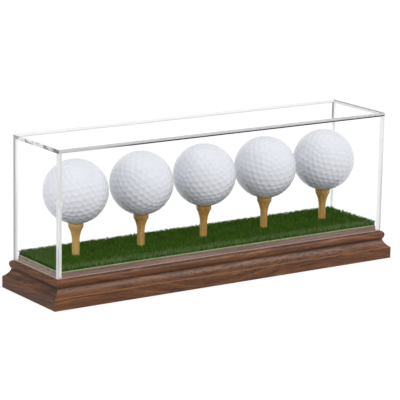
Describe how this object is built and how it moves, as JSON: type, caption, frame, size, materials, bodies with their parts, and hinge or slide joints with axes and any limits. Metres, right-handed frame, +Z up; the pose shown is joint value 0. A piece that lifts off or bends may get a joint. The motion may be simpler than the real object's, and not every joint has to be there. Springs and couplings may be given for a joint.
{
  "type": "golf ball display case",
  "caption": "Long clear display case with a moulded walnut base, where golf balls stand on wooden tees in artificial turf; the cover and the balls lift off.",
  "frame": {"origin": "centre of the base's outline, on the surface that the felt feet stand on", "axes": "+X along the row of balls, to the right seen from the front; -Y is the front; +Z up"},
  "size_m": [0.2722, 0.0686, 0.1041],
  "materials": {
    "walnut": "satin",
    "plinth_walnut": "satin",
    "core_board": "matte",
    "felt": "matte",
    "turf_backing": "matte",
    "turf_grass": "matte",
    "tee_wood": "satin",
    "ball_cover": "gloss",
    "clear_acrylic": "polished"
  },
  "bodies": {
    "base": {"base_rail_front": "walnut", "base_rail_rear": "walnut", "base_rail_left": "walnut", "base_rail_right": "walnut", "core_board": "core_board", "plinth": "plinth_walnut", "felt_feet": "felt", "turf_backing": "turf_backing", "turf_pile": "turf_grass", "tee_1": "tee_wood", "tee_2": "tee_wood", "tee_3": "tee_wood", "tee_4": "tee_wood", "tee_5": "tee_wood"},
    "cover": {"cover_top": "clear_acrylic", "cover_front": "clear_acrylic", "cover_rear": "clear_acrylic", "cover_left": "clear_acrylic", "cover_right": "clear_acrylic"},
    "ball_1": {"ball_1": "ball_cover"},
    "ball_2": {"ball_2": "ball_cover"},
    "ball_3": {"ball_3": "ball_cover"},
    "ball_4": {"ball_4": "ball_cover"},
    "ball_5": {"ball_5": "ball_cover"}
  },
  "joints": [
    {"name": "cover_lift", "type": "slide", "parent": "base", "child": "cover", "axis": [0, 0, 1], "range_m": [0, 0.1]},
    {"name": "ball_1_lift", "type": "slide", "parent": "base", "child": "ball_1", "axis": [0, 0, 1], "range_m": [0, 0.011]},
    {"name": "ball_2_lift", "type": "slide", "parent": "base", "child": "ball_2", "axis": [0, 0, 1], "range_m": [0, 0.011]},
    {"name": "ball_3_lift", "type": "slide", "parent": "base", "child": "ball_3", "axis": [0, 0, 1], "range_m": [0, 0.011]},
    {"name": "ball_4_lift", "type": "slide", "parent": "base", "child": "ball_4", "axis": [0, 0, 1], "range_m": [0, 0.011]},
    {"name": "ball_5_lift", "type": "slide", "parent": "base", "child": "ball_5", "axis": [0, 0, 1], "range_m": [0, 0.011]}
  ]
}
